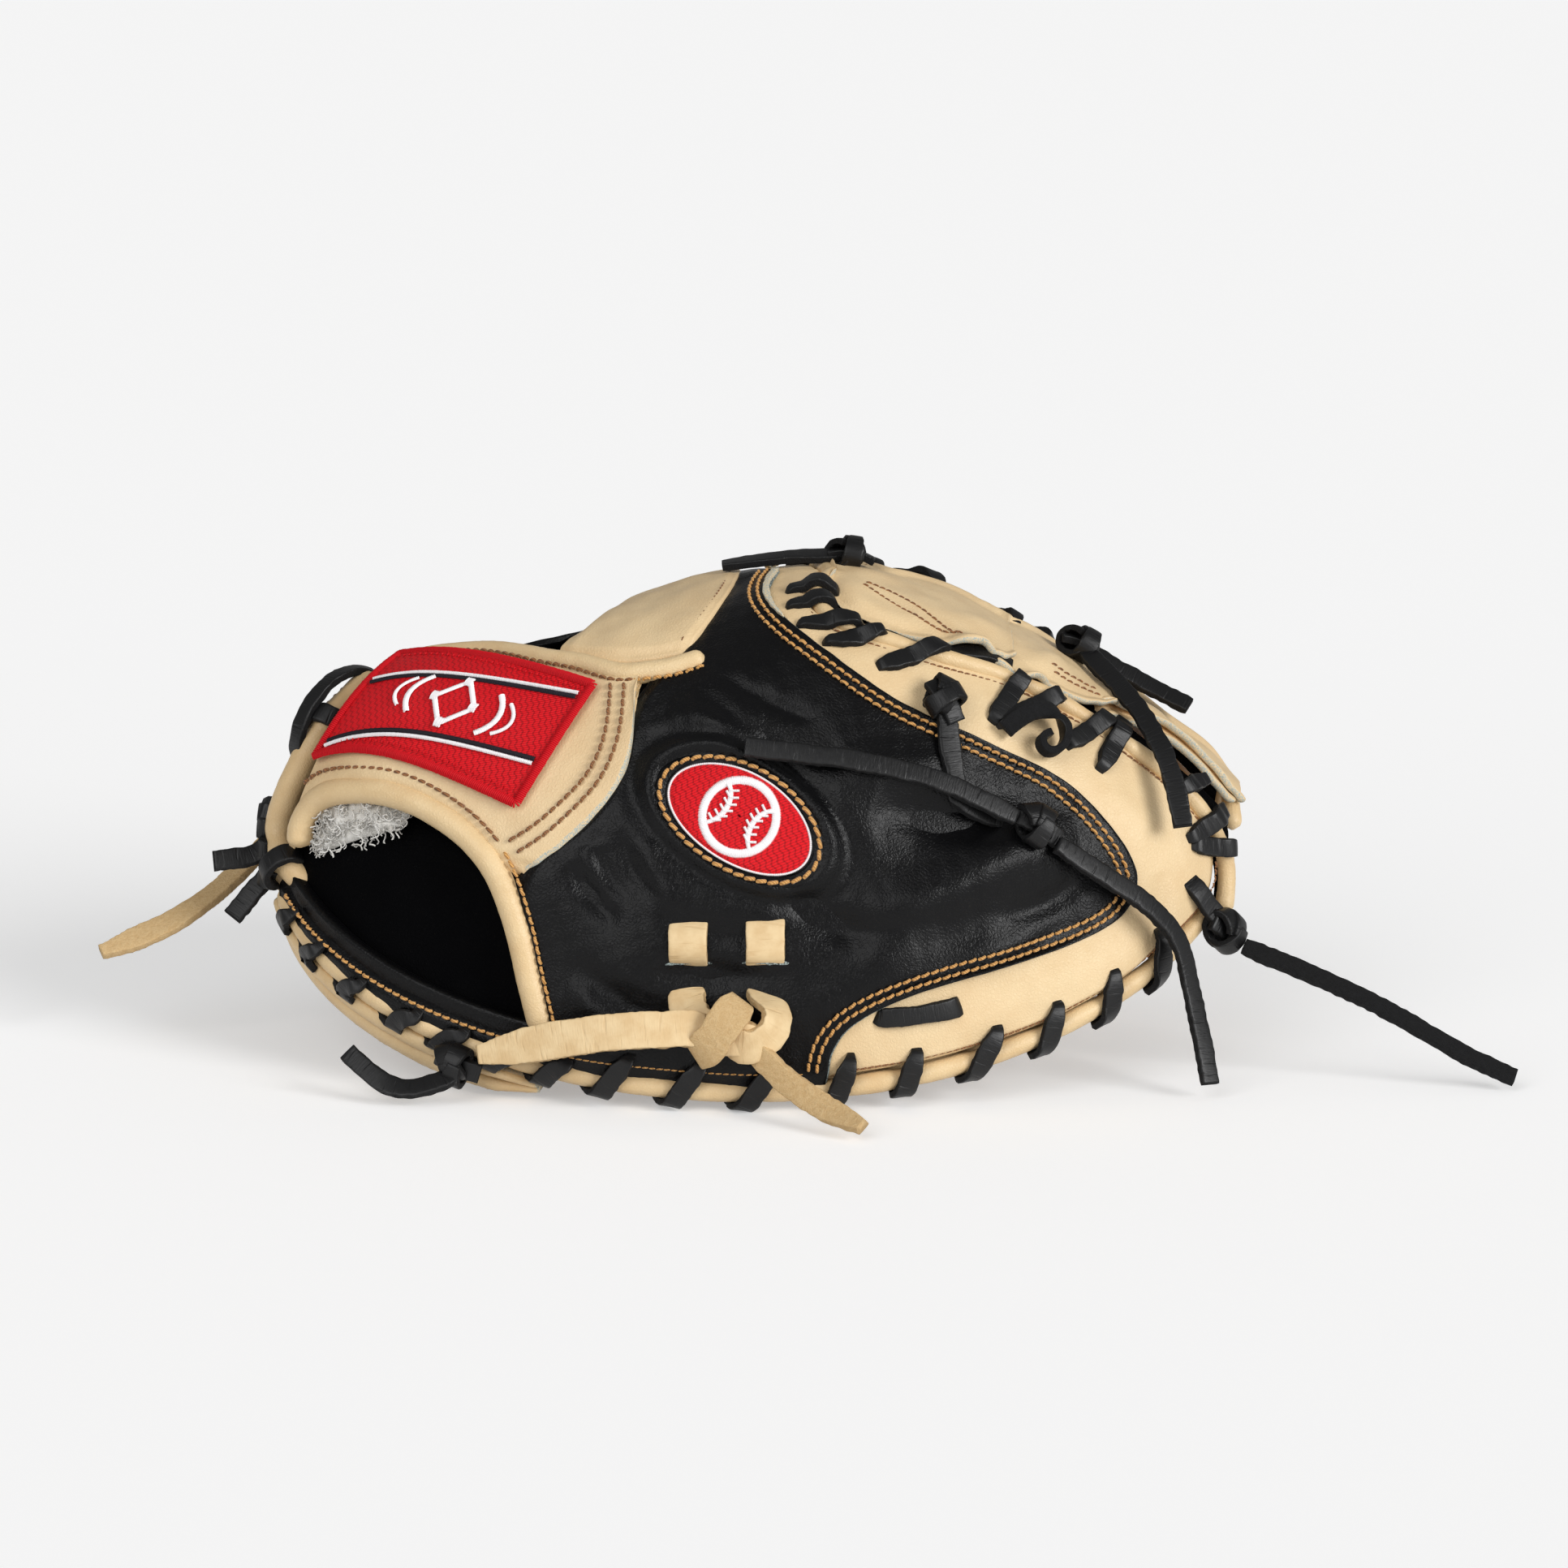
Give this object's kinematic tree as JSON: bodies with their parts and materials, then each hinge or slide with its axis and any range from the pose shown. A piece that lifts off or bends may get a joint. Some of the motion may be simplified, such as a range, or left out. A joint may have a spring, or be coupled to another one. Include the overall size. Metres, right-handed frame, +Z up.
{
  "type": "baseball catcher's mitt",
  "caption": "Catcher's mitt lying palm down, with padded palm halves that fold about a web and middle, wrist strap, rolled bindings and rawhide lacing.",
  "frame": {"origin": "on the floor under the middle of the arch, where the mitt rests", "axes": "+X from the heel to the web's tip, +Y towards the fingers' side, +Z up, with the mitt lying palm down"},
  "size_m": [0.4411, 0.2134, 0.1599],
  "materials": {
    "black_leather": "soft full-grain, fine pebble, satin",
    "tan_leather": "blond full-grain, smooth, satin",
    "palm_leather": "blond full-grain, smooth",
    "felt_padding": "pressed wool felt",
    "black_lining": "thin soft lining leather, matte",
    "tan_binding": "rolled blond leather, stitched",
    "black_lace": "rawhide lace, smooth one side, suede the other",
    "tan_lace": "wide blond lace, suede back",
    "red_embroidery": "dense satin-stitch embroidery",
    "white_fleece": "shearling",
    "black_plastic": "flat stiffening stay"
  },
  "bodies": {
    "core": {"middle_palm": "palm_leather", "middle_padding": "felt_padding", "middle_lining": "black_lining", "back_bridge": "black_leather", "index_finger_pad": "tan_leather", "web_panel_crown": "tan_leather", "web_panel_middle": "tan_leather", "web_panel_tip": "tan_leather", "web_palm": "palm_leather", "tip_binding": "tan_binding", "heel_binding": "tan_binding", "heel_lace": "black_lace", "crown_knot": "black_lace", "web_knot": "black_lace", "crown_tail": "black_lace", "web_side_tail": "black_lace", "web_long_tail": "black_lace"},
    "thumb_half": {"thumb_palm": "palm_leather", "thumb_padding": "felt_padding", "thumb_lining": "black_lining", "thumb_rim_binding": "tan_binding", "thumb_palm_binding": "tan_binding", "thumb_rim_lace": "black_lace", "thumb_back_shell": "black_leather", "thumb_rim_panel": "tan_leather", "thumb_stay": "black_plastic", "web_rim_binding": "tan_binding", "wrist_binding": "tan_binding", "web_rim_lace": "black_lace", "emblem_patch": "red_embroidery", "emblem_border": "black_leather", "thumb_loop_bands": "tan_lace", "thumb_loop_knot": "tan_lace", "wrist_strap": "tan_leather", "strap_fleece": "white_fleece", "strap_label": "red_embroidery", "strap_bindings": "tan_binding", "strap_lace": "black_lace", "tie_risers": "black_lace", "thumb_tie_knot": "black_lace", "thumb_upper_knot": "black_lace", "tip_tie_knot": "black_lace", "heel_tie_knot": "black_lace", "thumb_tie_tail_left": "black_lace", "thumb_tie_tail_right": "black_lace", "tip_tie_tail": "black_lace", "heel_tie_tail": "black_lace", "thumb_loop_tail_left": "tan_lace", "thumb_loop_tail_right": "tan_lace"},
    "finger_half": {"finger_palm": "palm_leather", "finger_padding": "felt_padding", "finger_lining": "black_lining", "finger_rim_binding": "tan_binding", "finger_palm_binding": "tan_binding", "finger_rim_lace": "black_lace", "finger_back_shell": "black_leather", "finger_rim_panel": "tan_leather", "finger_web_binding": "tan_binding", "pinky_loop_knot": "tan_lace", "pinky_loop_tail": "tan_lace"}
  },
  "joints": [
    {"name": "thumb_fold", "type": "hinge", "parent": "core", "child": "thumb_half", "pos_m": [0, -0.035, 0.068], "axis": [0.9983, 0, 0.0579], "range_deg": [0, 12]},
    {"name": "finger_fold", "type": "hinge", "parent": "core", "child": "finger_half", "pos_m": [0, 0.035, 0.068], "axis": [0.9983, 0, 0.0579], "range_deg": [-12, 0]}
  ],
  "couplings": [
    {"joint": "finger_fold", "follows": "thumb_fold", "ratio": -1}
  ]
}
